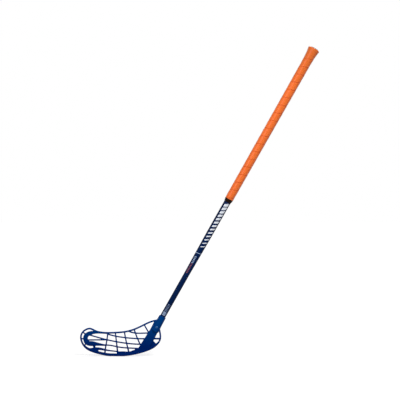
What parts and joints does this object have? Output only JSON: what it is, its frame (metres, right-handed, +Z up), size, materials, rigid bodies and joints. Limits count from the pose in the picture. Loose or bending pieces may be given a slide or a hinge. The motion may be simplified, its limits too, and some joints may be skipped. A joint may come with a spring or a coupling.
{
  "type": "floorball stick",
  "caption": "Floorball stick: a hooked, latticed plastic blade glued and screwed on a slim tapered tube, with a wound cushioned grip and a flared butt end.",
  "frame": {"origin": "middle of the flat on the blade's sole, on the floor line", "axes": "+X from the toe to the heel, +Z up, +Y to the side that the toe hooks to; the shaft leans 29.5 degrees from +Z towards +X"},
  "size_m": [0.7367, 0.0459, 0.9545],
  "materials": {
    "moulded_blade_plastic": "moulded, satin, deep blue",
    "lacquered_composite": "navy lacquer over a fibre composite tube",
    "hot_melt_glue": "dark honey, set",
    "zinc_plated_steel": "dull zinc plate with a blue passivation",
    "collar_rubber": "plain black",
    "plug_plastic": "fine moulded grain, black",
    "cushioned_grip": "tacky orange polyurethane with rows of fine holes",
    "vinyl_tape": "black stretched vinyl"
  },
  "bodies": {
    "root": {"blade": "moulded_blade_plastic", "shaft": "lacquered_composite", "hosel_glue": "hot_melt_glue", "front_blade_screw": "zinc_plated_steel", "back_blade_screw": "zinc_plated_steel", "knob_collar": "collar_rubber", "butt_plug": "plug_plastic", "grip_tape": "cushioned_grip", "finishing_tape": "vinyl_tape"}
  },
  "joints": []
}
